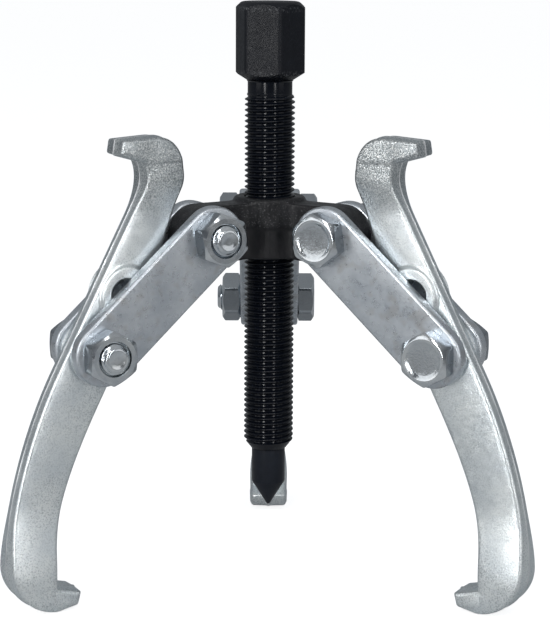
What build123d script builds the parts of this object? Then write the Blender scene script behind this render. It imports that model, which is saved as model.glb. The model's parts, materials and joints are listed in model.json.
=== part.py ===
from build123d import *
from math import cos, radians, sin
import os

# Three-jaw gear puller, millimetres.  Z is the axis of the forcing screw, with Z = 0 at the middle of
# the pressure point's round shank.  The puller stands on its three lower claws, at negative Z.

# Forcing screw: M14 x 1.5, 17 mm hexagon, tapered pressure point seated in its lower end.
THREAD_PITCH = 1.5
CREST_RADIUS = 6.9
ROOT_RADIUS = 6.05
CREST_FLAT = 0.25
ROOT_FLAT = 0.25
THREAD_TOP = 104.2
THREAD_BOTTOM = 7.4
SCREW_END = 4.9
SCREW_END_RADIUS = 4.9
NECK_RADIUS = 6.1
HEAD_BOTTOM = 107.5
HEAD_TOP = 128.8
HEAD_FLATS = 17.0
HEAD_CORNER_RADIUS = 9.45
HEAD_TOP_RADIUS = 7.2
HEAD_TOP_CHAMFER = 1.6
HEAD_BOTTOM_CHAMFER = 2.2
HEAD_TURN = -13.4

POINT_RADIUS = 4.65
POINT_SHOULDER = 4.85
POINT_CONE_TOP = -4.8
POINT_TIP = -11.7
POINT_TIP_RADIUS = 0.55
TANG_RADIUS = 2.5
TANG_LENGTH = 8.0
TANG_CLEARANCE = 0.05

# Yoke: a forged hub with three lugs.
HUB_RADIUS = 9.9
COLLAR_RADIUS = 9.5
HUB_TOP = 76.0
HUB_SEAM = 68.1
HUB_BOTTOM = 59.5
HUB_CHAMFER = 0.7
SCREW_CLEARANCE = 0.06
LUG_THICKNESS = 9.0
LUG_END_RADIUS = 8.0
LUG_ROOT_DROP = 1.2
LUG_ROOT_FILLET = 3.0

# Arms: three, evenly spaced; each swings in the plane through the screw.
ARM_ANGLES = {"arm_1": 210.0, "arm_2": 330.0, "arm_3": 90.0}
UPPER_PIVOT_RADIUS = 21.2
UPPER_PIVOT_HEIGHT = 66.6
LINK_PITCH = 43.6
LINK_DROP = 41.2
LINK_WIDTH = 17.0
LINK_THICKNESS = 4.0
LINK_GAP = 9.2
LINK_EDGE = 0.4

# M8 bolts and nuts.
BOLT_RADIUS = 4.0
BOLT_END_CHAMFER = 0.8
BOLT_PROUD = 1.5
HOLE_CLEARANCE = 0.06
NUT_FLATS = 13.0
NUT_HEIGHT = 5.6
BOLT_HEAD_HEIGHT = 5.0
HEX_CHAMFER = 0.7
HEX_FACE_INSET = 0.3
NUT_COUNTERSINK = 0.5
# How far each level's bolt heads and nuts are turned from a corner facing up, at rest.
HEX_TURNS = {"upper": 8.5, "lower": 0.0}

# Jaw: drop-forged, with raised pads at its two holes and a claw at each end.
WEB_THICKNESS = 6.6
PAD_THICKNESS = 9.0
PAD_RADIUS = 8.4
HOLE_PITCH = 17.0
HOLE_LINE_TILT = 28.2
LOWER_CLAW_THICKNESS = 11.8
UPPER_CLAW_THICKNESS = 10.8
# Heights from the lower hole at which each claw starts to thicken and reaches its full thickness.
UPPER_CLAW_START = 38.0
UPPER_CLAW_FULL = 49.0
LOWER_CLAW_START = -40.0
LOWER_CLAW_FULL = -60.0

# Cutting shapes stand out of what they cut by the margin, and reach past a whole jaw.
MARGIN = 1.0
JAW_REACH = 80.0

lower_pivot_radius = UPPER_PIVOT_RADIUS + LINK_PITCH * cos(radians(LINK_DROP))
lower_pivot_height = UPPER_PIVOT_HEIGHT - LINK_PITCH * sin(radians(LINK_DROP))
hole_radius = BOLT_RADIUS + HOLE_CLEARANCE
plate_inner = LINK_GAP / 2
plate_outer = plate_inner + LINK_THICKNESS


def revolved(points):
    """A solid of revolution about Z from (radius, height) points."""
    with BuildPart() as solid:
        with BuildSketch(Plane.XZ):
            with BuildLine():
                Polyline(*points, close=True)
            make_face()
        revolve(axis=Axis.Z)
    return solid.part


def hexagon(flats, height, base):
    """An upright hexagonal prism from the base height."""
    shape = RegularPolygon(radius=flats / 2, side_count=6, major_radius=False, rotation=30)
    return Pos(0, 0, base) * extrude(shape, height)


def threaded_profile():
    """Screw outline from its neck down to its end, with the thread as rings at the true pitch."""
    flank = (THREAD_PITCH - CREST_FLAT - ROOT_FLAT) / 2
    rings = int((THREAD_TOP - THREAD_BOTTOM) / THREAD_PITCH)
    points = [(0, HEAD_BOTTOM), (NECK_RADIUS, HEAD_BOTTOM), (NECK_RADIUS, THREAD_TOP)]
    for ring in range(rings):
        top = THREAD_TOP - ring * THREAD_PITCH - flank
        points.append((CREST_RADIUS, top))
        points.append((CREST_RADIUS, top - CREST_FLAT))
        points.append((ROOT_RADIUS, top - CREST_FLAT - flank))
        points.append((ROOT_RADIUS, top - CREST_FLAT - flank - ROOT_FLAT))
    points.append((CREST_RADIUS, THREAD_BOTTOM))
    points.append((SCREW_END_RADIUS, SCREW_END))
    points.append((0, SCREW_END))
    return points


def forcing_screw():
    head = hexagon(HEAD_FLATS, HEAD_TOP - HEAD_BOTTOM, HEAD_BOTTOM)
    envelope = revolved([
        (0, HEAD_BOTTOM),
        (NECK_RADIUS, HEAD_BOTTOM),
        (HEAD_CORNER_RADIUS, HEAD_BOTTOM + HEAD_BOTTOM_CHAMFER),
        (HEAD_CORNER_RADIUS, HEAD_TOP - HEAD_TOP_CHAMFER),
        (HEAD_TOP_RADIUS, HEAD_TOP),
        (0, HEAD_TOP),
    ])
    head = Rot(0, 0, HEAD_TURN) * head & envelope
    socket_depth = TANG_LENGTH + TANG_CLEARANCE
    socket = Cylinder(TANG_RADIUS + TANG_CLEARANCE, socket_depth)
    return head + revolved(threaded_profile()) - Pos(0, 0, SCREW_END + socket_depth / 2) * socket


def screw_point():
    return revolved([
        (0, POINT_SHOULDER + TANG_LENGTH),
        (TANG_RADIUS, POINT_SHOULDER + TANG_LENGTH),
        (TANG_RADIUS, POINT_SHOULDER),
        (POINT_RADIUS, POINT_SHOULDER),
        (POINT_RADIUS, POINT_CONE_TOP),
        (POINT_TIP_RADIUS, POINT_TIP),
        (0, POINT_TIP),
    ])


def cross_bar(radius, place, depth):
    """A round bar along the arm's tangential direction, through (radial, height) place."""
    return Pos(place[0], 0, place[1]) * Rot(90, 0, 0) * Cylinder(radius, depth)


def yoke_plan(hub_radius):
    """The yoke seen from above: hub and three lugs, with filleted inside corners."""
    length = UPPER_PIVOT_RADIUS + LUG_END_RADIUS
    plan = Circle(hub_radius)
    for angle in ARM_ANGLES.values():
        plan += Rot(0, 0, angle) * Pos(length / 2, 0) * Rectangle(length, LUG_THICKNESS)
    reach = (hub_radius + MARGIN) ** 2
    corners = [vertex for vertex in plan.vertices() if vertex.X ** 2 + vertex.Y ** 2 < reach]
    return fillet(corners, LUG_ROOT_FILLET)


def yoke():
    hub = revolved([
        (0, HUB_TOP),
        (HUB_RADIUS - HUB_CHAMFER, HUB_TOP),
        (HUB_RADIUS, HUB_TOP - HUB_CHAMFER),
        (HUB_RADIUS, HUB_BOTTOM + HUB_CHAMFER),
        (HUB_RADIUS - HUB_CHAMFER, HUB_BOTTOM),
        (0, HUB_BOTTOM),
    ])
    pivot = (UPPER_PIVOT_RADIUS, UPPER_PIVOT_HEIGHT)
    with BuildSketch(Plane.XZ) as side:
        with BuildLine():
            Polyline(
                (0, HUB_TOP - LUG_ROOT_DROP),
                (UPPER_PIVOT_RADIUS, UPPER_PIVOT_HEIGHT + LUG_END_RADIUS),
                (UPPER_PIVOT_RADIUS, UPPER_PIVOT_HEIGHT - LUG_END_RADIUS),
                (0, HUB_BOTTOM + HUB_CHAMFER),
                close=True,
            )
        make_face()
        with Locations(pivot):
            Circle(LUG_END_RADIUS)
    lug = extrude(side.sketch, LUG_THICKNESS, both=True)
    envelope = hub
    for angle in ARM_ANGLES.values():
        envelope += Rot(0, 0, angle) * lug
    low = HUB_BOTTOM - LUG_END_RADIUS
    plan = Pos(0, 0, HUB_SEAM) * extrude(yoke_plan(HUB_RADIUS), HUB_TOP - HUB_SEAM)
    plan += Pos(0, 0, low) * extrude(yoke_plan(COLLAR_RADIUS), HUB_SEAM - low)
    body = plan & envelope
    bore = Cylinder(CREST_RADIUS + SCREW_CLEARANCE, 2 * (HUB_TOP - HUB_BOTTOM))
    body -= Pos(0, 0, (HUB_TOP + HUB_BOTTOM) / 2) * bore
    for angle in ARM_ANGLES.values():
        body -= Rot(0, 0, angle) * cross_bar(hole_radius, pivot, 4 * LUG_THICKNESS)
    return body


def link_plate(side):
    """One flat link: +1 is the nut side of the arm, -1 the bolt-head side."""
    middle_radius = (UPPER_PIVOT_RADIUS + lower_pivot_radius) / 2
    middle_height = (UPPER_PIVOT_HEIGHT + lower_pivot_height) / 2
    slot = SlotCenterToCenter(LINK_PITCH, LINK_WIDTH)
    plate = extrude(slot, LINK_THICKNESS / 2, both=True)
    plate = chamfer(plate.faces().filter_by(Axis.Z).edges(), LINK_EDGE)
    for end in (-1, 1):
        plate -= Pos(end * LINK_PITCH / 2, 0, 0) * Cylinder(hole_radius, 3 * LINK_THICKNESS)
    upright = Rot(0, LINK_DROP, 0) * Rot(90, 0, 0) * plate
    offset = side * (plate_inner + LINK_THICKNESS / 2)
    return Pos(middle_radius, offset, middle_height) * upright


def hexagon_piece(height, turn, both_ends):
    """A 13 mm hexagon along Z from 0, its free end chamfered by a cone as on turned bar."""
    corner = NUT_FLATS / 2 / cos(radians(30))
    face = NUT_FLATS / 2 - HEX_FACE_INSET
    low = [(0, 0), (face, 0), (corner, HEX_CHAMFER)] if both_ends else [(0, 0), (corner, 0)]
    envelope = revolved([*low, (corner, height - HEX_CHAMFER), (face, height), (0, height)])
    return Rot(0, 0, turn) * hexagon(NUT_FLATS, height, 0) & envelope


def bolt(turn):
    """M8 hexagon bolt along +Z, its head below Z = 0."""
    length = 2 * plate_outer + NUT_HEIGHT + BOLT_PROUD
    shank = revolved([
        (0, -MARGIN),
        (BOLT_RADIUS, -MARGIN),
        (BOLT_RADIUS, length - BOLT_END_CHAMFER),
        (BOLT_RADIUS - BOLT_END_CHAMFER, length),
        (0, length),
    ])
    return Rot(180, 0, 0) * hexagon_piece(BOLT_HEAD_HEIGHT, turn, False) + shank


def nut(turn):
    """M8 hexagon nut along +Z from Z = 0, its hole countersunk at both faces."""
    wall = BOLT_RADIUS + HOLE_CLEARANCE / 2
    hole = revolved([
        (0, -MARGIN),
        (wall + NUT_COUNTERSINK + MARGIN, -MARGIN),
        (wall, NUT_COUNTERSINK),
        (wall, NUT_HEIGHT - NUT_COUNTERSINK),
        (wall + NUT_COUNTERSINK + MARGIN, NUT_HEIGHT + MARGIN),
        (0, NUT_HEIGHT + MARGIN),
    ])
    return hexagon_piece(NUT_HEIGHT, turn, True) - hole


def across_arm(piece, place, offset):
    """Lay a piece modelled along Z across the arm, along +Y, with its Z = 0 at the offset."""
    return Pos(place[0], offset, place[1]) * Rot(-90, 0, 0) * piece


def jaw_outline():
    """Side view of a jaw, as (outward, up) from its lower hole."""
    with BuildSketch(Plane.XZ) as outline:
        with BuildLine():
            # Upper claw, pointing outward.
            Polyline((-17.2, 56.4), (-7.1, 55.8), (-6.4, 51.5), (-13.4, 49.5))
            # Outer edge: a waist under the claw, straight past both holes, then curving down.
            Polyline((-13.4, 49.5), (-14.4, 44.2), (-10.9, 36.5), (11.4, -5.0))
            Spline((11.4, -5.0), (19.9, -25.8), (25.9, -56.3), tangents=((0.473, -0.881), (0.0, -1.0)))
            # Heel and lower claw, pointing inward.
            ThreePointArc((25.9, -56.3), (22.1, -65.5), (12.9, -69.3))
            Polyline((12.9, -69.3), (7.0, -68.1), (5.9, -64.0), (12.9, -62.3))
            Line((12.9, -62.3), (12.5, -53.3))
            # Inner edge, up to the boss.
            Spline((12.5, -53.3), (5.4, -26.8), (-3.5, -9.8), tangents=((-0.06, 1.0), (-0.473, 0.881)))
            Line((-3.5, -9.8), (-14.9, 11.3))
            Polyline((-14.9, 11.3), (-25.4, 42.2))
            # Round back of the upper end.
            ThreePointArc((-25.4, 42.2), (-25.8, 45.5), (-25.6, 47.9))
            ThreePointArc((-25.6, 47.9), (-23.3, 53.8), (-17.2, 56.4))
        make_face()
    return outline.sketch


def jaw_thickness():
    """Front view of a jaw: wide at both claws, thin between them, as (across, up)."""
    upper = UPPER_CLAW_THICKNESS / 2
    lower = LOWER_CLAW_THICKNESS / 2
    web = WEB_THICKNESS / 2
    side = [
        (upper, JAW_REACH),
        (upper, UPPER_CLAW_FULL),
        (web, UPPER_CLAW_START),
        (web, LOWER_CLAW_START),
        (lower, LOWER_CLAW_FULL),
        (lower, -JAW_REACH),
    ]
    mirrored = [(-across, up) for across, up in reversed(side)]
    with BuildSketch(Plane.YZ) as outline:
        with BuildLine():
            Polyline(*side, *mirrored, close=True)
        make_face()
    return outline.sketch


def jaw():
    """A jaw in the arm's frame, set on the lower pivot."""
    body = extrude(jaw_outline(), LOWER_CLAW_THICKNESS, both=True)
    body &= extrude(jaw_thickness(), JAW_REACH, both=True)
    upper_hole = (-HOLE_PITCH * sin(radians(HOLE_LINE_TILT)), HOLE_PITCH * cos(radians(HOLE_LINE_TILT)))
    for place in ((0, 0), upper_hole):
        body += cross_bar(PAD_RADIUS, place, PAD_THICKNESS)
    for place in ((0, 0), upper_hole):
        body -= cross_bar(hole_radius, place, 3 * PAD_THICKNESS)
    return Pos(lower_pivot_radius, 0, lower_pivot_height) * body


os.makedirs("parts", exist_ok=True)
nodes = {"yoke": yoke(), "forcing_screw": forcing_screw(), "screw_point": screw_point()}
pivots = {
    "upper": (UPPER_PIVOT_RADIUS, UPPER_PIVOT_HEIGHT),
    "lower": (lower_pivot_radius, lower_pivot_height),
}
for arm, angle in ARM_ANGLES.items():
    turned = Rot(0, 0, angle)
    nodes[f"{arm}_jaw"] = turned * jaw()
    nodes[f"{arm}_link_nut_side"] = turned * link_plate(1)
    nodes[f"{arm}_link_head_side"] = turned * link_plate(-1)
    for level, place in pivots.items():
        turn = HEX_TURNS[level]
        nodes[f"{arm}_{level}_bolt"] = turned * across_arm(bolt(turn), place, -plate_outer)
        nodes[f"{arm}_{level}_nut"] = turned * across_arm(nut(turn), place, plate_outer)

for name, solid in nodes.items():
    export_step(solid, f"parts/{name}.step")
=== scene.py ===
import json
import math

import bmesh
import bpy
from mathutils import Matrix, Vector, noise
from mathutils.geometry import interpolate_bezier
from mathutils.kdtree import KDTree


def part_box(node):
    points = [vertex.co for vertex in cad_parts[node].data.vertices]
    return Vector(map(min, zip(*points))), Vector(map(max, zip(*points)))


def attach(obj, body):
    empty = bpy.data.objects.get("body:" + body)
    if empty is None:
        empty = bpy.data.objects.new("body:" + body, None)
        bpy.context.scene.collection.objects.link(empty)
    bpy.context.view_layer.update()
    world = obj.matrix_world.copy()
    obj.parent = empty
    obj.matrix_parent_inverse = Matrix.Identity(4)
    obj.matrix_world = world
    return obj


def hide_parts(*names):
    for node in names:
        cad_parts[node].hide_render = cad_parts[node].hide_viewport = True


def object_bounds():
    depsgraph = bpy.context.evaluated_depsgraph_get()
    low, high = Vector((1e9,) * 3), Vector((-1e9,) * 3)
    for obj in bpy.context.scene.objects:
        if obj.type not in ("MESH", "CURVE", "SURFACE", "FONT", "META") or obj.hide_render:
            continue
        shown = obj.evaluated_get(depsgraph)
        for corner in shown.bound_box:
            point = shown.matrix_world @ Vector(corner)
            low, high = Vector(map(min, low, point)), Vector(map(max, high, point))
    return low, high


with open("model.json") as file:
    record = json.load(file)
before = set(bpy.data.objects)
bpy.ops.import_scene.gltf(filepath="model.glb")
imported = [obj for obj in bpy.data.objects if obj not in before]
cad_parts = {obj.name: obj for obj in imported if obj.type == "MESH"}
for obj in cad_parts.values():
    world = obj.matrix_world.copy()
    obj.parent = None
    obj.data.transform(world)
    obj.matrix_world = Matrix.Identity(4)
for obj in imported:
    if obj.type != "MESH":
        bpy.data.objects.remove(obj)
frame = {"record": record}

cad_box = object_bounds()

# ---------------------------------------------------------------- yoke
# The yoke is one steel drop forging: a hub with a tapped bore for the screw and three lugs that the
# links straddle.  It is black-oxided over the forged skin, so it is almost black and finely grainy.
mm = 0.001
turn_about_z = {}
pivots = {}
for joint in frame["record"]["behaviour"]["joints"]:
    if joint["name"].endswith("_swing"):
        pivots[joint["name"]] = Vector(joint["pos_m"])
arms = ("arm_1", "arm_2", "arm_3")
for arm in arms:
    upper = pivots[arm + "_link_swing"]
    turn_about_z[arm] = Matrix.Rotation(math.atan2(upper.y, upper.x), 4, "Z")
upper_reach = pivots["arm_1_link_swing"].xy.length
upper_height = pivots["arm_1_link_swing"].z
yoke_low, yoke_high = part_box("yoke")

hub_radius = 9.9 * mm
collar_radius = 9.5 * mm
hub_top = yoke_high.z
hub_bottom = 59.5 * mm
hub_seam = 68.1 * mm
hub_chamfer = 0.7 * mm
lug_thickness = 9.0 * mm
lug_end_radius = upper_height - yoke_low.z
lug_root_drop = 1.2 * mm
root_fillet = 2.4 * mm
bore_radius = 6.96 * mm
pivot_hole_radius = 4.06 * mm
cutter_past = 5 * mm
forging_grid = 0.28 * mm


def new_piece(name, shape):
    """An object from a bmesh, with its faces turned outward."""
    bmesh.ops.recalc_face_normals(shape, faces=shape.faces)
    mesh = bpy.data.meshes.new(name)
    shape.to_mesh(mesh)
    shape.free()
    piece = bpy.data.objects.new(name, mesh)
    bpy.context.scene.collection.objects.link(piece)
    return piece


def apply_modifiers(piece):
    """The piece's mesh becomes what its modifiers make of it."""
    graph = bpy.context.evaluated_depsgraph_get()
    shaped = bpy.data.meshes.new_from_object(piece.evaluated_get(graph))
    piece.modifiers.clear()
    piece.data = shaped


def combine(piece, other, operation):
    """Joins, cuts or intersects the piece with another, which is used up."""
    change = piece.modifiers.new(operation, "BOOLEAN")
    change.operation = operation
    change.solver = "EXACT"
    change.object = other
    apply_modifiers(piece)
    bpy.data.objects.remove(other)


def forge(piece, grid, rounds):
    """Gives a piece the even skin and soft corners of a drop forging."""
    skin = piece.modifiers.new("skin", "REMESH")
    skin.mode = "VOXEL"
    skin.voxel_size = grid
    soften = piece.modifiers.new("soften", "SMOOTH")
    soften.factor = 0.5
    soften.iterations = rounds
    apply_modifiers(piece)


def spun(name, outline, steps):
    """A turned piece from (radius, height) points that start and end on the axis."""
    shape = bmesh.new()
    verts = [shape.verts.new((radius, 0, height)) for radius, height in outline]
    edges = [shape.edges.new(pair) for pair in zip(verts, verts[1:])]
    bmesh.ops.spin(shape, geom=verts + edges, cent=(0, 0, 0), axis=(0, 0, 1), angle=2 * math.pi,
                   steps=steps, use_merge=True)
    bmesh.ops.remove_doubles(shape, verts=shape.verts, dist=1e-7)
    return new_piece(name, shape)


def rod(radius, start, end, segments=64):
    """A plain round bar between two points, for cutting holes and making pads."""
    shape = bmesh.new()
    run = end - start
    bmesh.ops.create_cone(shape, cap_ends=True, segments=segments, radius1=radius, radius2=radius,
                          depth=run.length)
    lie = run.to_track_quat("Z", "Y").to_matrix().to_4x4()
    bmesh.ops.transform(shape, matrix=Matrix.Translation((start + end) / 2) @ lie, verts=shape.verts)
    return new_piece("rod", shape)


def yoke_plan(radius, low, high):
    """An upright prism with the yoke's outline from above, its inside corners filleted."""
    shape = bmesh.new()
    half = lug_thickness / 2
    corner = math.sqrt(radius ** 2 - half ** 2)
    length = upper_reach + 2 * lug_end_radius
    loop = []
    inside = []
    for arm in ("arm_2", "arm_3", "arm_1"):
        for x, y in ((corner, -half), (length, -half), (length, half), (corner, half)):
            loop.append(shape.verts.new(turn_about_z[arm] @ Vector((x, y, low))))
        inside += [loop[-4], loop[-1]]
        for degrees in (45, 60, 75):
            angle = math.radians(degrees)
            place = Vector((radius * math.cos(angle), radius * math.sin(angle), low))
            loop.append(shape.verts.new(turn_about_z[arm] @ place))
    shape.faces.new(loop)
    bmesh.ops.bevel(shape, geom=inside, offset=root_fillet, segments=6, profile=0.5, affect="VERTICES",
                    material=-1)
    up = bmesh.ops.extrude_face_region(shape, geom=shape.faces[:])
    risen = [item for item in up["geom"] if isinstance(item, bmesh.types.BMVert)]
    bmesh.ops.translate(shape, verts=risen, vec=(0, 0, high - low))
    return new_piece("yoke_plan", shape)


def lug_side(arm):
    """A lug seen from the side, thicker than the real one: the yoke's plan trims it."""
    shape = bmesh.new()
    bmesh.ops.create_circle(shape, cap_ends=True, segments=96, radius=lug_end_radius)
    stand = Matrix.Translation((upper_reach, 0, upper_height)) @ Matrix.Rotation(math.pi / 2, 4, "X")
    bmesh.ops.transform(shape, matrix=stand, verts=shape.verts)
    root_top = hub_top - lug_root_drop
    root_bottom = hub_bottom + hub_chamfer
    for vert in shape.verts:
        if vert.co.x < upper_reach - 1e-6:
            share = (vert.co.z - upper_height + lug_end_radius) / (2 * lug_end_radius)
            vert.co = (0, 0, root_bottom + share * (root_top - root_bottom))
    out = bmesh.ops.extrude_face_region(shape, geom=shape.faces[:])
    moved = [item for item in out["geom"] if isinstance(item, bmesh.types.BMVert)]
    bmesh.ops.translate(shape, verts=moved, vec=(0, 2 * lug_thickness, 0))
    bmesh.ops.translate(shape, verts=shape.verts, vec=(0, -lug_thickness, 0))
    bmesh.ops.transform(shape, matrix=turn_about_z[arm], verts=shape.verts)
    return new_piece("lug_side", shape)


yoke = spun("yoke_forging", [
    (0, hub_bottom),
    (hub_radius - hub_chamfer, hub_bottom),
    (hub_radius, hub_bottom + hub_chamfer),
    (hub_radius, hub_top - hub_chamfer),
    (hub_radius - hub_chamfer, hub_top),
    (0, hub_top),
], 96)
for arm in arms:
    combine(yoke, lug_side(arm), "UNION")
plan = yoke_plan(collar_radius, yoke_low.z - mm, hub_seam)
combine(plan, yoke_plan(hub_radius, hub_seam - 0.01 * mm, hub_top + mm), "UNION")
combine(yoke, plan, "INTERSECT")
bore = rod(bore_radius, Vector((0, 0, hub_bottom - cutter_past)), Vector((0, 0, hub_top + cutter_past)), 96)
combine(yoke, bore, "DIFFERENCE")
pin_half = lug_thickness / 2 + cutter_past
for arm in arms:
    ends = [turn_about_z[arm] @ Vector((upper_reach, y, upper_height)) for y in (-pin_half, pin_half)]
    combine(yoke, rod(pivot_hole_radius, *ends), "DIFFERENCE")
forge(yoke, forging_grid, 6)


def node(tree, kind, **values):
    """A shader node with its plain settings and unlinked inputs set."""
    made = tree.nodes.new("ShaderNode" + kind)
    for name, value in values.items():
        if name in made.inputs:
            made.inputs[name].default_value = value
        else:
            setattr(made, name, value)
    return made


def new_material(name):
    """A material with its shader, object coordinates and node tree to build on."""
    material = bpy.data.materials.new(name)
    material.use_nodes = True
    tree = material.node_tree
    tree.nodes.clear()
    output = tree.nodes.new("ShaderNodeOutputMaterial")
    shader = tree.nodes.new("ShaderNodeBsdfPrincipled")
    tree.links.new(shader.outputs["BSDF"], output.inputs["Surface"])
    place = tree.nodes.new("ShaderNodeTexCoord").outputs["Object"]
    return material, tree, shader, place


def grain(tree, place, scale, detail=3.0, roughness=0.6):
    """Fractal noise over the object, as many bumps per metre as the scale says."""
    made = node(tree, "TexNoise", Scale=scale, Detail=detail, Roughness=roughness)
    tree.links.new(place, made.inputs["Vector"])
    return made.outputs["Fac"]


def spread(tree, value, low, high, to_low, to_high):
    """Stretches a value's middle range to another range, clamped."""
    made = tree.nodes.new("ShaderNodeMapRange")
    tree.links.new(value, made.inputs["Value"])
    for name, number in zip(("From Min", "From Max", "To Min", "To Max"), (low, high, to_low, to_high)):
        made.inputs[name].default_value = number
    return made.outputs["Result"]


def blend_colours(tree, share, first, second):
    """A colour between two, by the share."""
    made = tree.nodes.new("ShaderNodeMix")
    made.data_type = "RGBA"
    tree.links.new(share, made.inputs["Factor"])
    for socket, colour in zip((made.inputs[6], made.inputs[7]), (first, second)):
        if isinstance(colour, tuple):
            socket.default_value = (*colour, 1)
        else:
            tree.links.new(colour, socket)
    return made.outputs[2]


def calculate(tree, operation, *values):
    """The sum, product or other result of one or two values, of which a plain number may be one."""
    made = node(tree, "Math", operation=operation)
    for socket, value in zip(made.inputs, values):
        if isinstance(value, float):
            socket.default_value = value
        else:
            tree.links.new(value, socket)
    return made.outputs["Value"]


def multiply(tree, first, second):
    """The product of two values."""
    return calculate(tree, "MULTIPLY", first, second)


def along(tree, place, axis):
    """How far along X, Y or Z a point is."""
    split = tree.nodes.new("ShaderNodeSeparateXYZ")
    tree.links.new(place, split.inputs["Vector"])
    return split.outputs[axis]


def bump(tree, shader, heights):
    """Chains (height value, strength, depth in metres) onto the shader's normal."""
    normal = None
    for height, strength, depth in heights:
        made = node(tree, "Bump", Strength=strength, Distance=depth)
        tree.links.new(height, made.inputs["Height"])
        if normal:
            tree.links.new(normal, made.inputs["Normal"])
        normal = made.outputs["Normal"]
    tree.links.new(normal, shader.inputs["Normal"])


def black_forging():
    """Black oxide over a forged skin, coarser above the hub's seam, where light specks are painted in as
    glints.
    """
    material, tree, shader, place = new_material("black_forging")
    shader.inputs["Specular IOR Level"].default_value = 0.3
    patches = spread(tree, grain(tree, place, 160), 0.35, 0.65, 0, 1)
    colour = blend_colours(tree, patches, (0.005, 0.0055, 0.0065), (0.013, 0.013, 0.015))
    height = along(tree, place, "Z")
    rough_hub = spread(tree, height, hub_seam - 0.3 * mm, hub_seam + 0.3 * mm, 0.15, 1)
    fine = multiply(tree, rough_hub, grain(tree, place, 2600, 2.0))
    # Light specks above the hub's seam: painted glints of the rough skin.
    glint_specks = spread(tree, fine, 0.58, 0.7, 0, 1)
    tree.links.new(blend_colours(tree, glint_specks, colour, (0.085, 0.086, 0.09)), shader.inputs["Base Color"])
    tree.links.new(spread(tree, grain(tree, place, 500), 0.3, 0.7, 0.32, 0.52), shader.inputs["Roughness"])
    bump(tree, shader, [(grain(tree, place, 900), 0.55, 0.14 * mm), (fine, 0.8, 0.08 * mm)])
    return material


def finish_piece(piece, material, body, slot, *nodes, sharp=None):
    """Smooth shading, material, the body it rides on, and the CAD nodes that it stands for."""
    piece.data.materials.clear()
    piece.data.materials.append(material)
    piece.data.shade_smooth()
    if sharp:
        piece.data.set_sharp_from_angle(angle=math.radians(sharp))
    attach(piece, body)
    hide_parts(*nodes)


finish_piece(yoke, black_forging(), "yoke", "yoke_forging", "yoke")

# ------------------------------------------------------- forcing screw
# The forcing screw is turned from one alloy steel bar: a 17 mm hexagon head, a short neck and an
# M14 x 1.5 thread, hardened and finished in oiled black oxide that shines along the thread crests.
screw_low, screw_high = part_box("forcing_screw")
pitch = 1.5 * mm
crest = 6.9 * mm
root = 6.05 * mm
thread_top = 104.2 * mm
thread_bottom = 7.4 * mm
end_radius = 4.9 * mm
neck_radius = 6.1 * mm
head_bottom = 107.5 * mm
head_flats = 17.0 * mm
head_corner = 9.6 * mm
head_turn = math.radians(16.6)
head_rim = ((8.2 * mm, 0.4 * mm), (7.8 * mm, 0.14 * mm), (7.2 * mm, 0))


def hexagon_bar(shape, flats, corner, low, high, turn=0.0, segments=180):
    """A hexagon bar along Z whose ends are turned to cones, each end as (height, face radius, cone height).

    The cone runs from the round end face out to the bar's corners, and so leaves an arc on each flat.
    """
    sixth = math.pi / 3
    low_height, low_face, low_cone = low
    high_height, high_face, high_cone = high
    ring = bmesh.ops.create_circle(shape, cap_ends=True, segments=segments, radius=low_face)["verts"]
    step = 2 * math.pi / segments
    reach = []
    for index in range(segments):
        off_flat = (index * step - turn + sixth / 2) % sixth - sixth / 2
        reach.append(min(flats / 2 / math.cos(off_flat), corner))
    rings = [
        (reach, [low_height + (far - low_face) / (corner - low_face) * low_cone for far in reach]),
        (reach, [high_height - (far - high_face) / (corner - high_face) * high_cone for far in reach]),
        ([high_face] * segments, [high_height] * segments),
    ]
    for vert in ring:
        vert.co.z = low_height
    edges = [edge for edge in shape.edges if edge.verts[0] in ring and edge.verts[1] in ring]
    for radii, heights in rings:
        raised = bmesh.ops.extrude_edge_only(shape, edges=edges)["geom"]
        verts = [item for item in raised if isinstance(item, bmesh.types.BMVert)]
        for vert in verts:
            index = round(math.atan2(vert.co.y, vert.co.x) / step) % segments
            vert.co.xy *= radii[index] / vert.co.xy.length
            vert.co.z = heights[index]
        edges = [item for item in raised
                 if isinstance(item, bmesh.types.BMEdge) and all(vert in verts for vert in item.verts)]
    return edges


def helix(shape, pitch, crest, root, low, high, steps):
    """A right-hand thread along Z, cut flat at both heights and left open there.

    The tooth's outline is worked out from one flank, as (share of the pitch, radius) up to its crest.
    """
    flank = [(0.06, root), (0.14, root + 0.06 * mm), (0.35, crest - 0.17 * mm), (0.42, crest - 0.05 * mm)]
    tooth = flank + [(0.5, crest)] + [(1 - share, radius) for share, radius in reversed(flank[1:])]
    turns = int((high - low) / pitch) + 4
    verts = []
    for turn in range(turns):
        for share, radius in tooth:
            verts.append(shape.verts.new((radius, 0, low + (turn - 2 + share) * pitch)))
    edges = [shape.edges.new(pair) for pair in zip(verts, verts[1:])]
    bmesh.ops.spin(shape, geom=verts + edges, cent=(0, 0, 0), axis=(0, 0, 1), angle=2 * math.pi,
                   steps=steps, dvec=(0, 0, pitch / steps))
    bmesh.ops.remove_doubles(shape, verts=shape.verts, dist=0.004 * mm)
    for height, side in ((low, -1), (high, 1)):
        everything = shape.verts[:] + shape.edges[:] + shape.faces[:]
        bmesh.ops.bisect_plane(shape, geom=everything, dist=1e-8, plane_co=(0, 0, height),
                               plane_no=(0, 0, side), clear_outer=True)
    return [[edge for edge in shape.edges if edge.is_boundary and abs(edge.verts[0].co.z - height) < 1e-6]
            for height in (low, high)]


def taper(shape, start, end, start_radius, end_radius):
    """Turns down what stands outside a cone between two heights, and beyond its end."""
    for vert in shape.verts:
        share = (vert.co.z - start) / (end - start)
        if share > 0:
            allowed = start_radius + min(share, 1) * (end_radius - start_radius)
            radius = vert.co.xy.length
            if radius > allowed:
                vert.co.xy *= allowed / radius


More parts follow.
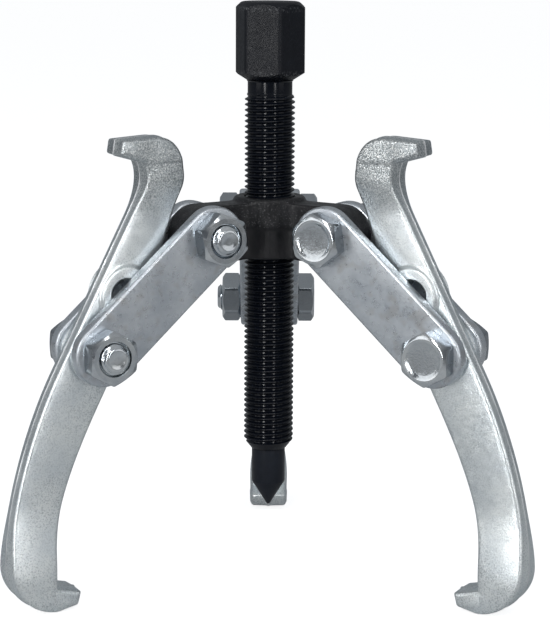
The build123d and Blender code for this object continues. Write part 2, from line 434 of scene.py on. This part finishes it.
def extend(shape, edges, radius, height):
    """Carries an open round edge on to another radius and height."""
    raised = bmesh.ops.extrude_edge_only(shape, edges=edges)["geom"]
    verts = [item for item in raised if isinstance(item, bmesh.types.BMVert)]
    for vert in verts:
        vert.co.xy *= radius / vert.co.xy.length
        vert.co.z = height
    return [item for item in raised
            if isinstance(item, bmesh.types.BMEdge) and all(vert in verts for vert in item.verts)]


shape = bmesh.new()
thread_low, thread_high = helix(shape, pitch, crest, root, screw_low.z, thread_top, 96)
taper(shape, thread_bottom, screw_low.z, crest, end_radius)
taper(shape, thread_top - 1.2 * pitch, thread_top, crest, neck_radius)
socket_edge = extend(shape, thread_low, end_radius * 0.6, screw_low.z)
bmesh.ops.holes_fill(shape, edges=socket_edge, sides=0)
bmesh.ops.holes_fill(shape, edges=thread_high, sides=0)
neck = bmesh.ops.create_circle(shape, cap_ends=True, segments=96, radius=root - 0.1 * mm)["verts"]
bmesh.ops.translate(shape, verts=neck, vec=(0, 0, thread_top - 1.5 * pitch))
neck_edge = [edge for edge in shape.edges if edge.verts[0] in neck and edge.verts[1] in neck]
neck_edge = extend(shape, neck_edge, neck_radius, thread_top - 0.4 * mm)
neck_edge = extend(shape, neck_edge, neck_radius, head_bottom - 0.3 * mm)
neck_edge = extend(shape, neck_edge, neck_radius + 0.3 * mm, head_bottom + 0.05 * mm)
bmesh.ops.holes_fill(shape, edges=neck_edge, sides=0)
(face_radius, face_sunk), *rim_round = head_rim
head_edge = hexagon_bar(shape, head_flats, head_corner, (head_bottom, neck_radius, 2.2 * mm),
                        (screw_high.z - face_sunk, face_radius, 1.3 * mm), head_turn)
for radius, sunk in rim_round:
    head_edge = extend(shape, head_edge, radius, screw_high.z - sunk)
bmesh.ops.holes_fill(shape, edges=head_edge, sides=0)
forcing_screw = new_piece("forcing_screw_turned", shape)


def oiled_black():
    """Oiled black oxide: shiny on the thread, duller on the head and worn in flecks at its ends."""
    material, tree, shader, place = new_material("oiled_black")
    shader.inputs["Specular IOR Level"].default_value = 0.26
    mottle = spread(tree, grain(tree, place, 240), 0.3, 0.7, 0, 1)
    colour = blend_colours(tree, mottle, (0.0020, 0.0030, 0.0058), (0.0040, 0.0054, 0.0092))
    rubbed = spread(tree, grain(tree, place, 1500, 2.0), 0.66, 0.8, 0, 1)
    oxide = blend_colours(tree, rubbed, colour, (0.030, 0.031, 0.034))
    height = along(tree, place, "Z")
    half_head = (screw_high.z - head_bottom) / 2
    head_middle = screw_high.z - half_head
    off_middle = calculate(tree, "ABSOLUTE", calculate(tree, "SUBTRACT", height, head_middle))
    ends = multiply(tree, spread(tree, off_middle, half_head - 3.2 * mm, half_head - 1.9 * mm, 0, 1),
                    spread(tree, off_middle, half_head - 1.7 * mm, half_head - 1.0 * mm, 1, 0))
    worn = multiply(tree, ends, spread(tree, grain(tree, place, 1900, 2.0), 0.54, 0.66, 0, 0.6))
    tree.links.new(blend_colours(tree, worn, oxide, (0.16, 0.165, 0.175)), shader.inputs["Base Color"])
    head = spread(tree, height, head_bottom - 0.2 * mm, head_bottom + 0.6 * mm, 0, 1)
    oiled = spread(tree, grain(tree, place, 420), 0.3, 0.7, 0.12, 0.19)
    forged = multiply(tree, head, spread(tree, grain(tree, place, 900), 0.3, 0.7, 0.22, 0.34))
    tree.links.new(calculate(tree, "ADD", oiled, forged), shader.inputs["Roughness"])
    pitting = multiply(tree, head, grain(tree, place, 1500, 3.0))
    bump(tree, shader, [(grain(tree, place, 600), 0.15, 0.05 * mm), (pitting, 0.5, 0.08 * mm)])
    return material


finish_piece(forcing_screw, oiled_black(), "screw", "screw_black_oxide", "forcing_screw", sharp=35)

# ------------------------------------------------------ pressure point
# The hardened point below the thread is turned to a 60 degree cone that centres in the shaft.  Its
# tang sits in a socket in the screw's end.  The black oxide on it is smooth and satin.
point_low, point_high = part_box("screw_point")
point_radius = 4.65 * mm
shoulder = 4.85 * mm
cone_top = -4.8 * mm
point = spun("pressure_point", [
    (0, point_high.z - 0.2 * mm),
    (2.3 * mm, point_high.z - 0.2 * mm),
    (2.5 * mm, point_high.z - 0.5 * mm),
    (2.5 * mm, shoulder),
    (point_radius - 0.15 * mm, shoulder),
    (point_radius, shoulder - 0.15 * mm),
    (point_radius, cone_top + 0.15 * mm),
    (point_radius - 0.06 * mm, cone_top - 0.1 * mm),
    (0.55 * mm, point_low.z + 0.25 * mm),
    (0.3 * mm, point_low.z),
    (0, point_low.z),
], 96)


def satin_black():
    """Black oxide over fine turning marks."""
    material, tree, shader, place = new_material("satin_black")
    shader.inputs["Specular IOR Level"].default_value = 0.25
    squash = node(tree, "Mapping", Scale=(1, 1, 12))
    tree.links.new(place, squash.inputs["Vector"])
    turning = grain(tree, squash.outputs["Vector"], 300)
    share = spread(tree, grain(tree, place, 200), 0.3, 0.7, 0, 1)
    tree.links.new(blend_colours(tree, share, (0.0060, 0.0078, 0.0125), (0.0095, 0.0125, 0.0195)),
                   shader.inputs["Base Color"])
    tree.links.new(spread(tree, turning, 0.3, 0.7, 0.3, 0.42), shader.inputs["Roughness"])
    bump(tree, shader, [(turning, 0.15, 0.03 * mm)])
    return material


finish_piece(point, satin_black(), "point", "point_black_oxide", "screw_point", sharp=35)

# --------------------------------------------------------------- links
# Each arm has two flat links, sheared from 4 mm steel strip with round ends and zinc plated.  Their
# faces are smooth, bluish and a little stained, and the sheared edges are bright.
link_width = 17.0 * mm
link_thickness = 4.0 * mm
link_edge = 0.8 * mm
lower_reach = pivots["arm_1_jaw_swing"].xy.length
lower_height = pivots["arm_1_jaw_swing"].z
link_pitch = math.hypot(lower_reach - upper_reach, lower_height - upper_height)
link_drop = math.atan2(upper_height - lower_height, lower_reach - upper_reach)
plate_inner = 4.6 * mm


def link_plate(name):
    """A link lying flat, its upper hole at the origin and its lower hole along +X."""
    shape = bmesh.new()
    bmesh.ops.create_circle(shape, cap_ends=True, segments=128, radius=link_width / 2)
    lower_half = [vert for vert in shape.verts if vert.co.x > 1e-7]
    bmesh.ops.translate(shape, verts=lower_half, vec=(link_pitch, 0, 0))
    up = bmesh.ops.extrude_face_region(shape, geom=shape.faces[:])
    risen = [item for item in up["geom"] if isinstance(item, bmesh.types.BMVert)]
    bmesh.ops.translate(shape, verts=risen, vec=(0, 0, link_thickness))
    rims = [edge for edge in shape.edges if abs(edge.verts[0].co.z - edge.verts[1].co.z) < 1e-7]
    bmesh.ops.bevel(shape, geom=rims, offset=link_edge, segments=5, profile=0.5, affect="EDGES",
                    material=-1)
    plate = new_piece(name, shape)
    for x in (0, link_pitch):
        low = Vector((x, 0, -cutter_past))
        high = Vector((x, 0, link_thickness + cutter_past))
        combine(plate, rod(pivot_hole_radius, low, high), "DIFFERENCE")
    return plate


def plated_link():
    """Zinc plate on rolled strip, clouded and a little stained."""
    material, tree, shader, place = new_material("plated_link")
    shader.inputs["Metallic"].default_value = 0.85
    blotches = spread(tree, grain(tree, place, 120, 4.0), 0.35, 0.65, 0, 1)
    tone = blend_colours(tree, blotches, (0.49, 0.53, 0.575), (0.64, 0.675, 0.71))
    stain = spread(tree, grain(tree, place, 260, 1.0), 0.56, 0.72, 0, 0.4)
    stained = blend_colours(tree, stain, tone, (0.40, 0.385, 0.365))
    tree.links.new(stained, shader.inputs["Base Color"])
    tree.links.new(spread(tree, grain(tree, place, 700), 0.3, 0.7, 0.24, 0.38), shader.inputs["Roughness"])
    bump(tree, shader, [(grain(tree, place, 1800, 2.0), 0.35, 0.05 * mm)])
    return material


link_material = plated_link()
stand = Matrix.Rotation(link_drop, 4, "Y") @ Matrix.Rotation(math.pi / 2, 4, "X")
for arm in arms:
    for side, offset in (("nut_side", plate_inner + link_thickness), ("head_side", -plate_inner)):
        plate = link_plate(f"{arm}_plate_{side}")
        shift = Matrix.Translation((upper_reach, offset, upper_height))
        plate.data.transform(turn_about_z[arm] @ shift @ stand)
        finish_piece(plate, link_material, f"{arm}_links", "link_zinc", f"{arm}_link_{side}", sharp=35)

# --------------------------------------------------------------- bolts
# Six M8 bolts, cold headed with a 13 mm hexagon and bright zinc plated, hold the arms together.  All
# enter from the same side of their arm, and a little of the thread stands out of each nut.
flats = 13.0 * mm
bolt_radius = 4.0 * mm
bolt_root = 3.45 * mm
bolt_pitch = 1.25 * mm
bolt_thread_length = 11 * mm
bolt_head_height = 5.0 * mm
nut_height = 5.6 * mm
bolt_proud = 1.5 * mm
plate_outer = plate_inner + link_thickness
hex_corner = 7.38 * mm
bolt_length = 2 * plate_outer + nut_height + bolt_proud
bolt_end = ((2.75 * mm, 0), (2.3 * mm, 0), (1.95 * mm, 0.1 * mm), (0.9 * mm, 0.15 * mm))
head_dish = (
    (5.75 * mm, 0), (5.2 * mm, 0), (4.75 * mm, 0.22 * mm), (3.9 * mm, 0.34 * mm), (2.1 * mm, 0.38 * mm),
)
dish_edge = 5.1 * mm
hexagon_turns = {"upper": math.radians(8.5), "lower": 0.0}


def mark_sides(piece):
    """Marks the hexagon's six sides, which the material paints darker than the turned ends as painted shade.
    """
    side = piece.data.attributes.new("shaded_side", "FLOAT", "FACE")
    for face in piece.data.polygons:
        upright = abs(face.normal.z) < 0.2 and face.center.xy.length > flats / 2 - 0.6 * mm
        side.data[face.index].value = 1.0 if upright else 0.0


def bolt(name, turn):
    """A bolt along +Z with the underside of its head at the origin."""
    shape = bmesh.new()
    far = bolt_length
    thread_start = far - bolt_thread_length
    low_edge, high_edge = helix(shape, bolt_pitch, bolt_radius, bolt_root, thread_start, far - 0.12 * mm, 48)
    taper(shape, far - 1.1 * mm, far, bolt_radius, 3.0 * mm)
    taper(shape, thread_start + bolt_pitch, thread_start, bolt_radius, bolt_radius - 0.25 * mm)
    crown = high_edge
    for radius, sunk in bolt_end:
        crown = extend(shape, crown, radius, far - sunk)
    bmesh.ops.holes_fill(shape, edges=crown, sides=0)
    shank = extend(shape, low_edge, bolt_radius - 0.05 * mm, thread_start - 0.3 * mm)
    shank = extend(shape, shank, bolt_radius - 0.05 * mm, -0.5 * mm)
    bmesh.ops.holes_fill(shape, edges=shank, sides=0)
    head = bmesh.new()
    rim = hexagon_bar(head, flats, hex_corner, (0, flats / 2 - 0.35 * mm, 0.4 * mm),
                      (bolt_head_height - 0.06 * mm, flats / 2 - 0.5 * mm, 0.9 * mm), turn, 120)
    for radius, sunk in head_dish:
        rim = extend(head, rim, radius, bolt_head_height - sunk)
    bmesh.ops.holes_fill(head, edges=rim, sides=0)
    bmesh.ops.rotate(head, verts=head.verts, cent=(0, 0, 0), matrix=Matrix.Rotation(math.pi, 3, "X"))
    headed = bpy.data.meshes.new("head")
    head.to_mesh(headed)
    head.free()
    shape.from_mesh(headed)
    bpy.data.meshes.remove(headed)
    piece = new_piece(name, shape)
    mark_sides(piece)
    dish = piece.data.attributes.new("dish", "FLOAT", "POINT")
    for vert in piece.data.vertices:
        dished = vert.co.z < 0.5 * mm - bolt_head_height and vert.co.xy.length < dish_edge
        dish.data[vert.index].value = 1.0 if dished else 0.0
    return piece


def bright_zinc():
    """Bright zinc plate, duller in a bolt head's dish, with painted shade on the hexagon's sides."""
    material, tree, shader, place = new_material("bright_zinc")
    shader.inputs["Metallic"].default_value = 1.0
    cloud = spread(tree, grain(tree, place, 180, 3.0), 0.35, 0.65, 0, 1)
    tone = blend_colours(tree, cloud, (0.60, 0.64, 0.68), (0.80, 0.83, 0.84))
    rub = spread(tree, grain(tree, place, 900, 4.0), 0.6, 0.75, 0, 0.6)
    rubbed = blend_colours(tree, rub, tone, (0.50, 0.52, 0.54))
    dish = node(tree, "Attribute", attribute_name="dish").outputs["Fac"]
    dull = multiply(tree, dish, spread(tree, grain(tree, place, 1300, 2.0), 0.35, 0.65, 0.95, 0.55))
    faced = blend_colours(tree, dull, rubbed, (0.56, 0.595, 0.62))
    # The hexagon's sides are painted darker: painted shade that sets them off from the ends.
    side_shade = node(tree, "Attribute", attribute_name="shaded_side").outputs["Fac"]
    side_shade = spread(tree, side_shade, 0, 1, 0, 0.85)
    tree.links.new(blend_colours(tree, side_shade, faced, (0.30, 0.33, 0.36)), shader.inputs["Base Color"])
    tree.links.new(spread(tree, grain(tree, place, 500), 0.3, 0.7, 0.08, 0.22), shader.inputs["Roughness"])
    pressed = multiply(tree, dish, grain(tree, place, 1500, 2.0))
    bump(tree, shader, [(grain(tree, place, 1100, 2.0), 0.1, 0.03 * mm), (pressed, 0.5, 0.08 * mm)])
    return material


def lay_across(piece, arm, level, offset):
    """Lays a piece made along +Z across its arm at a pivot, its origin at the offset from the middle."""
    reach, height = (upper_reach, upper_height) if level == "upper" else (lower_reach, lower_height)
    across = Matrix.Translation((reach, offset, height)) @ Matrix.Rotation(-math.pi / 2, 4, "X")
    piece.data.transform(turn_about_z[arm] @ across)


fastener_material = bright_zinc()
for arm in arms:
    for level, turn in hexagon_turns.items():
        piece = bolt(f"{arm}_{level}_m8_bolt", turn)
        lay_across(piece, arm, level, -plate_outer)
        finish_piece(piece, fastener_material, f"{arm}_links", "fastener_zinc", f"{arm}_{level}_bolt",
                     sharp=30)

# ---------------------------------------------------------------- nuts
# An M8 nut closes each bolt.  Both its faces are turned to a cone at the corners, and its hole is
# countersunk, which leaves a dark ring round the bolt's end.
countersink = 0.7 * mm
nut_cone = (flats / 2 - 0.45 * mm, 0.9 * mm)


def nut(name, turn):
    """A nut along +Z from the origin."""
    shape = bmesh.new()
    wall = bolt_radius + 0.03 * mm
    top = hexagon_bar(shape, flats, hex_corner, (0, *nut_cone), (nut_height, *nut_cone), turn, 120)
    bmesh.ops.delete(shape, geom=[face for face in shape.faces if len(face.verts) > 4], context="FACES_ONLY")
    bottom = [edge for edge in shape.edges if edge.is_boundary and edge.verts[0].co.z < 1e-6]
    top = extend(shape, top, wall + countersink, nut_height)
    top = extend(shape, top, wall, nut_height - countersink)
    bottom = extend(shape, bottom, wall + countersink, 0)
    bottom = extend(shape, bottom, wall, countersink)
    bmesh.ops.bridge_loops(shape, edges=top + bottom)
    piece = new_piece(name, shape)
    mark_sides(piece)
    return piece


for arm in arms:
    for level, turn in hexagon_turns.items():
        piece = nut(f"{arm}_{level}_m8_nut", turn)
        lay_across(piece, arm, level, plate_outer)
        finish_piece(piece, fastener_material, f"{arm}_links", "fastener_zinc", f"{arm}_{level}_nut",
                     sharp=30)

# ---------------------------------------------------------------- jaws
# Each jaw is a drop forging with a claw at both ends and raised pads round its two pivot holes.  The
# dies leave soft corners and a fine line along its edge, and the zinc plate lies over a grainy skin.
web_half = 3.3 * mm
flash_out = 0.2 * mm
flash_half = 0.27 * mm
wall_half = 1.9 * mm
wall_draft = 0.1 * mm
corner_round = 1.0 * mm
crown = web_half - wall_half - corner_round
crown_reach = 5.5 * mm
pad_half = 4.5 * mm
pad_upper_half = (
    (6.9 * mm, pad_half), (7.25 * mm, 4.43 * mm), (7.5 * mm, 4.2 * mm), (7.65 * mm, 3.9 * mm),
    (7.85 * mm, 3.62 * mm), (8.15 * mm, 3.42 * mm), (8.4 * mm, 3.3 * mm), (8.0 * mm, 2.6 * mm),
)
pad_across = 0.88
hole_chamfer = 0.45 * mm
hole_pitch = 17.0 * mm
hole_tilt = math.radians(28.2)
lower_claw_half = 5.9 * mm
upper_claw_half = 5.4 * mm
claw_corner = 0.5 * mm
crease_height = 49.4 * mm
crease_width = 0.7 * mm
crease_step = 0.3 * mm
upper_flare = (35.5 * mm, 46 * mm)
lower_flare = (39 * mm, 61 * mm)
burr_grain = 900
burr = 0.14 * mm
burr_most = 0.12 * mm
curve_steps = 26
long_run = 7.5 * mm
run_spacing = 1.2 * mm
grid_spacing = 1.5 * mm
grid_start = (-25 * mm, -68 * mm)
grid_size = (50 * mm, 124 * mm)
jaw_outline = (
    ((-17.2, 56.4),),
    ((-7.1, 55.8),),
    ((-6.4, 51.5),),
    ((-13.4, 49.5), (-14.9, 45.3), (-14.5, 43.1), (-10.9, 36.5)),
    ((-10.9, 36.5),),
    ((11.4, -5.0), (19.0, -19.1), (25.9, -40.3), (25.9, -56.3)),
    ((25.9, -56.3), (25.9, -63.5), (20.1, -69.3), (12.9, -69.3)),
    ((12.9, -69.3),),
    ((7.0, -68.1),),
    ((5.9, -64.0),),
    ((12.9, -62.3),),
    ((12.5, -53.3), (11.6, -38.3), (3.6, -23.0), (-3.5, -9.8)),
    ((-3.5, -9.8),),
    ((-14.9, 11.3),),
    ((-25.4, 42.2), (-26.0, 44.1), (-25.9, 46.0), (-25.6, 47.9)),
    ((-25.6, 47.9), (-25.3, 52.5), (-22.1, 56.7), (-17.2, 56.4)),
)
claw_tips = ((-7.1, 55.8), (-6.4, 51.5), (7.0, -68.1), (5.9, -64.0))


def jaw_face(shape):
    """The jaw's side view as one face in its middle plane, its long straight runs divided."""
    points = []
    for stretch in jaw_outline:
        if len(stretch) == 4:
            points += interpolate_bezier(*[Vector((x, 0, z)) for x, z in stretch], curve_steps)[:-1]
        else:
            points += [Vector((x, 0, z)) for x, z in stretch]
    shape.faces.new([shape.verts.new(point * mm) for point in points])
    for edge in [edge for edge in shape.edges if edge.calc_length() > long_run]:
        if abs(edge.verts[0].co.z - edge.verts[1].co.z) > long_run / 2:
            bmesh.ops.subdivide_edges(shape, edges=[edge], cuts=int(edge.calc_length() / run_spacing))
    return next(iter(shape.faces))


def jaw_half(shape):
    """Half the jaw, built up from the flash line with a drafted wall and a round corner."""
    face = jaw_face(shape)
    steps = [(flash_out, flash_half), (wall_draft, wall_half - flash_half)]
    before = (0.0, 0.0)
    for degrees in (15, 30, 45, 60, 75, 90):
        angle = math.radians(degrees)
        place = (corner_round * (1 - math.cos(angle)), corner_round * math.sin(angle))
        steps.append((place[0] - before[0], place[1] - before[1]))
        before = place
    corners = [Vector((x, 0, z)) * mm for x, z in claw_tips]
    tips = [min(face.verts, key=lambda vert: (vert.co - corner).length) for corner in corners]
    tip_edges = []
    for inward, upward in steps:
        bmesh.ops.inset_region(shape, faces=[face], thickness=inward, depth=0, use_boundary=True,
                                use_even_offset=True)
        bmesh.ops.translate(shape, verts=face.verts, vec=(0, upward, 0))
        inner = set(face.verts)
        for index, tip in enumerate(tips):
            edge = next(edge for edge in tip.link_edges if (edge.other_vert(tip) in inner) != (tip in inner))
            tip_edges.append(edge)
            tips[index] = next(vert for vert in edge.verts if vert in inner)
    rim = [vert.co.copy() for vert in face.verts]
    bmesh.ops.bevel(shape, geom=tip_edges, offset=claw_corner, segments=3, profile=0.5, affect="EDGES",
                    clamp_overlap=True, material=-1)
    return rim


def divide_face(shape):
    """Cuts the flat of the half jaw into a grid, so that it can be crowned and flared."""
    top = wall_half + corner_round
    cuts = []
    for axis, start, size in zip(((1, 0, 0), (0, 0, 1)), grid_start, grid_size):
        cuts += [(axis, step * grid_spacing + start) for step in range(int(size / grid_spacing))]
    cuts += [((0, 0, 1), crease_height + side * crease_width / 2) for side in (-1, 1)]
    for axis, distance in cuts:
        flat = [face for face in shape.faces if all(abs(vert.co.y - top) < 1e-7 for vert in face.verts)]
        geom = set(flat)
        for face in flat:
            geom.update(face.edges)
            geom.update(face.verts)
        bmesh.ops.bisect_plane(shape, geom=list(geom), dist=1e-7, plane_no=axis,
                               plane_co=Vector(axis) * distance)


def smooth_step(value, low, high):
    """From 0 at the low end to 1 at the high end, starting and ending gently."""
    share = min(max((value - low) / (high - low), 0), 1)
    return share * share * (3 - 2 * share)


def thickening(up):
    """How much thicker than the shank each half of the jaw is, at a height above the lower hole."""
    above = (upper_claw_half - web_half - crease_step) * smooth_step(up, *upper_flare)
    crease = smooth_step(up, crease_height - crease_width / 2, crease_height + crease_width / 2)
    below = (lower_claw_half - web_half) * smooth_step(-up, *lower_flare)
    return above + crease_step * crease + below


def crossways(piece, centre):
    """Turns a piece made along Z to lie across the jaw at a hole."""
    piece.data.transform(Matrix.Translation(centre) @ Matrix.Rotation(math.pi / 2, 4, "X"))
    return piece


def forged_jaw():
    """A jaw in its arm's frame with its lower hole at the origin."""
    shape = bmesh.new()
    points = jaw_half(shape)
    rim = KDTree(len(points))
    for index, point in enumerate(points):
        rim.insert(point, index)
    rim.balance()
    divide_face(shape)
    for vert in shape.verts:
        if vert.co.y > wall_half + corner_round - 1e-7:
            inside = min(rim.find(vert.co)[2] / crown_reach, 1)
            vert.co.y += crown * (1 - (1 - inside) ** 2)
        elif vert.co.y < 1e-7:
            ragged = noise.fractal(vert.co * burr_grain, 1.0, 2.0, 3) * burr
            vert.co.x -= math.copysign(min(abs(ragged), burr_most), vert.co.x)
        vert.co.y += thickening(vert.co.z) * min(vert.co.y / wall_half, 1)
    half = shape.verts[:] + shape.edges[:] + shape.faces[:]
    bmesh.ops.mirror(shape, geom=half, matrix=Matrix.Identity(4), merge_dist=1e-6, axis="Y")
    middle_faces = [face for face in shape.faces if all(abs(vert.co.y) < 1e-7 for vert in face.verts)]
    bmesh.ops.delete(shape, geom=middle_faces, context="FACES_ONLY")
    body = new_piece("jaw_body", shape)
    upper_hole = Vector((-hole_pitch * math.sin(hole_tilt), 0, hole_pitch * math.cos(hole_tilt)))
    drill_half = pad_half + 1.5 * mm
    drill_mouth = pivot_hole_radius + hole_chamfer + drill_half - pad_half
    drill = [(0, -drill_half), (drill_mouth, -drill_half), (pivot_hole_radius, hole_chamfer - pad_half),
             (pivot_hole_radius, pad_half - hole_chamfer), (drill_mouth, drill_half), (0, drill_half)]
    pad_lower_half = [(radius, -height) for radius, height in reversed(pad_upper_half)]
    pad_outline = [(0, pad_half), *pad_upper_half, (8.05 * mm, 0), *pad_lower_half, (0, -pad_half)]
    for centre in (Vector((0, 0, 0)), upper_hole):
        pad = spun("pad", pad_outline, 96)
        pad.data.transform(Matrix.Scale(pad_across, 4, (math.cos(hole_tilt), math.sin(hole_tilt), 0)))
        combine(body, crossways(pad, centre), "UNION")
    for centre in (Vector((0, 0, 0)), upper_hole):
        combine(body, crossways(spun("drill", drill, 64), centre), "DIFFERENCE")
    # Marks the flash line, which the material paints bright as a painted highlight.
    flash = body.data.attributes.new("flash_line", "FLOAT", "POINT")
    for vert in body.data.vertices:
        flash.data[vert.index].value = 1.0 if abs(vert.co.y) < 0.02 * mm else 0.0
    return body


def plated_forging():
    """Zinc plate over a forged skin, grainier towards the upper claw and painted darker there as shade, with
    glints painted into the grain and a painted highlight on the flash line.
    """
    material, tree, shader, place = new_material("plated_forging")
    shader.inputs["Metallic"].default_value = 0.95
    shader.inputs["Specular Tint"].default_value = (0.92, 0.96, 0.99, 1)
    broad = spread(tree, grain(tree, place, 90, 3.0), 0.35, 0.65, 0, 1)
    tone = blend_colours(tree, broad, (0.76, 0.815, 0.84), (0.91, 0.955, 0.955))
    fine = grain(tree, place, 2500, 3.0, 0.7)
    height = along(tree, place, "Z")
    upper_grain_and_shade = spread(tree, height, 70 * mm, 84 * mm, 0, 0.55)
    lower_grain = spread(tree, height, -8 * mm, -20 * mm, 0, 0.12)
    patches = spread(tree, grain(tree, place, 70, 2.0), 0.4, 0.62, 0.2, 0.5)
    rough_patches = calculate(tree, "ADD", patches, calculate(tree, "ADD", upper_grain_and_shade, lower_grain))
    pits = spread(tree, fine, 0.41, 0.49, 1, 0)
    pits = multiply(tree, pits, rough_patches)
    # Towards the upper claw the tone is painted darker: painted shade. The same mask also coarsens the
    # grain.
    shaded_claw_tone = blend_colours(tree, upper_grain_and_shade, tone, (0.30, 0.33, 0.345))
    pits_and_shade = blend_colours(tree, pits, shaded_claw_tone, (0.30, 0.325, 0.335))
    # Near-white specks in the grain: painted glints.
    lights = multiply(tree, spread(tree, fine, 0.52, 0.6, 0, 0.9), rough_patches)
    grain_glints_and_shade = blend_colours(tree, lights, pits_and_shade, (0.98, 0.98, 0.96))
    # The flash line is painted near white: a painted highlight.
    flash = node(tree, "Attribute", attribute_name="flash_line").outputs["Fac"]
    flash_highlight = spread(tree, flash, 0.25, 0.8, 0, 1)
    tree.links.new(blend_colours(tree, flash_highlight, grain_glints_and_shade, (0.95, 0.96, 0.97)), shader.inputs["Base Color"])
    tree.links.new(spread(tree, grain(tree, place, 600), 0.3, 0.7, 0.28, 0.42), shader.inputs["Roughness"])
    skin = multiply(tree, fine, rough_patches)
    bump(tree, shader, [(grain(tree, place, 260, 3.0), 0.3, 0.25 * mm), (skin, 0.8, 0.16 * mm)])
    return material


jaw_material = plated_forging()
pattern = forged_jaw()
for arm in arms:
    piece = bpy.data.objects.new(f"{arm}_forged_jaw", pattern.data.copy())
    bpy.context.scene.collection.objects.link(piece)
    piece.data.transform(turn_about_z[arm] @ Matrix.Translation((lower_reach, 0, lower_height)))
    finish_piece(piece, jaw_material, f"{arm}_claw", "jaw_zinc", f"{arm}_jaw", sharp=38)
bpy.data.objects.remove(pattern)

# ------------------------------------------------ floor, light, camera
# The puller stands on its three claws on a plain white table, which glows evenly to the eye but stays a
# quiet grey in the metal's reflections.  Two tall strips flank the camera, with broad softboxes at both
# sides and one in front overhead, in a dim grey room.
floor_shape = bmesh.new()
bmesh.ops.create_grid(floor_shape, x_segments=1, y_segments=1, size=8)
bmesh.ops.translate(floor_shape, verts=floor_shape.verts, vec=(0, 0, cad_box[0].z))
floor = new_piece("floor", floor_shape)
floor_material, tree, shader, place = new_material("white_table")
shader.inputs["Roughness"].default_value = 0.8
shader.inputs["Specular IOR Level"].default_value = 0.2
near = spread(tree, along(tree, place, "Y"), -0.16, -0.34, 0, 1)
tree.links.new(blend_colours(tree, near, (0.5, 0.51, 0.52), (0.2, 0.204, 0.208)),
               shader.inputs["Base Color"])
shader.inputs["Emission Color"].default_value = (1, 1, 1, 1)
seen = node(tree, "LightPath").outputs["Is Camera Ray"]
tree.links.new(spread(tree, seen, 0, 1, 0, 0.82), shader.inputs["Emission Strength"])
floor.data.materials.append(floor_material)


middle = (cad_box[0] + cad_box[1]) / 2


def softbox(name, azimuth, elevation, distance, width, height, power):
    """A rectangular light round the puller: azimuth 0 is the camera's side, positive to its right."""
    data = bpy.data.lights.new(name, "AREA")
    data.shape = "RECTANGLE"
    data.size = width
    data.size_y = height
    data.energy = power
    lamp = bpy.data.objects.new(name, data)
    flat = math.cos(math.radians(elevation))
    out = Vector((math.sin(math.radians(azimuth)) * flat, -math.cos(math.radians(azimuth)) * flat,
                  math.sin(math.radians(elevation))))
    lamp.location = middle + out * distance
    lamp.rotation_euler = out.to_track_quat("Z", "Y").to_euler()
    bpy.context.scene.collection.objects.link(lamp)


softbox("key", azimuth=-26, elevation=12, distance=1.1, width=0.12, height=1.1, power=5.6)
softbox("second", azimuth=26, elevation=12, distance=1.1, width=0.10, height=1.1, power=2.9)
softbox("left", azimuth=-60, elevation=14, distance=1.3, width=0.7, height=1.1, power=2.7)
softbox("right", azimuth=60, elevation=14, distance=1.3, width=0.7, height=1.1, power=1.6)
softbox("overhead", azimuth=0, elevation=54, distance=1.2, width=1.0, height=0.22, power=2.6)

world = bpy.data.worlds.new("studio")
world.use_nodes = True
tree = world.node_tree
direction = tree.nodes.new("ShaderNodeTexCoord").outputs["Generated"]
front = spread(tree, along(tree, direction, "Y"), 0.3, -0.3, 0, 1)
walls = blend_colours(tree, front, (0.23, 0.245, 0.26), (0.10, 0.107, 0.117))
ceiling = spread(tree, along(tree, direction, "Z"), 0.35, 0.9, 0, 1)
surround = blend_colours(tree, ceiling, walls, (0.40, 0.41, 0.42))
tree.links.new(surround, tree.nodes["Background"].inputs["Color"])
bpy.context.scene.world = world
bpy.context.scene.view_settings.view_transform = "Standard"

camera_data = bpy.data.cameras.new("camera")
camera_data.sensor_width = 36
camera_data.lens = 118
camera = bpy.data.objects.new("camera", camera_data)
eye = Matrix.Translation((0.8 * mm, -552.4 * mm, 147.0 * mm))
pan = Matrix.Rotation(math.radians(-0.09), 4, "Z")
tilt = Matrix.Rotation(math.radians(90 - 10.53), 4, "X")
roll = Matrix.Rotation(math.radians(0.3), 4, "Z")
camera.matrix_world = eye @ pan @ tilt @ roll
bpy.context.scene.collection.objects.link(camera)
bpy.context.scene.camera = camera
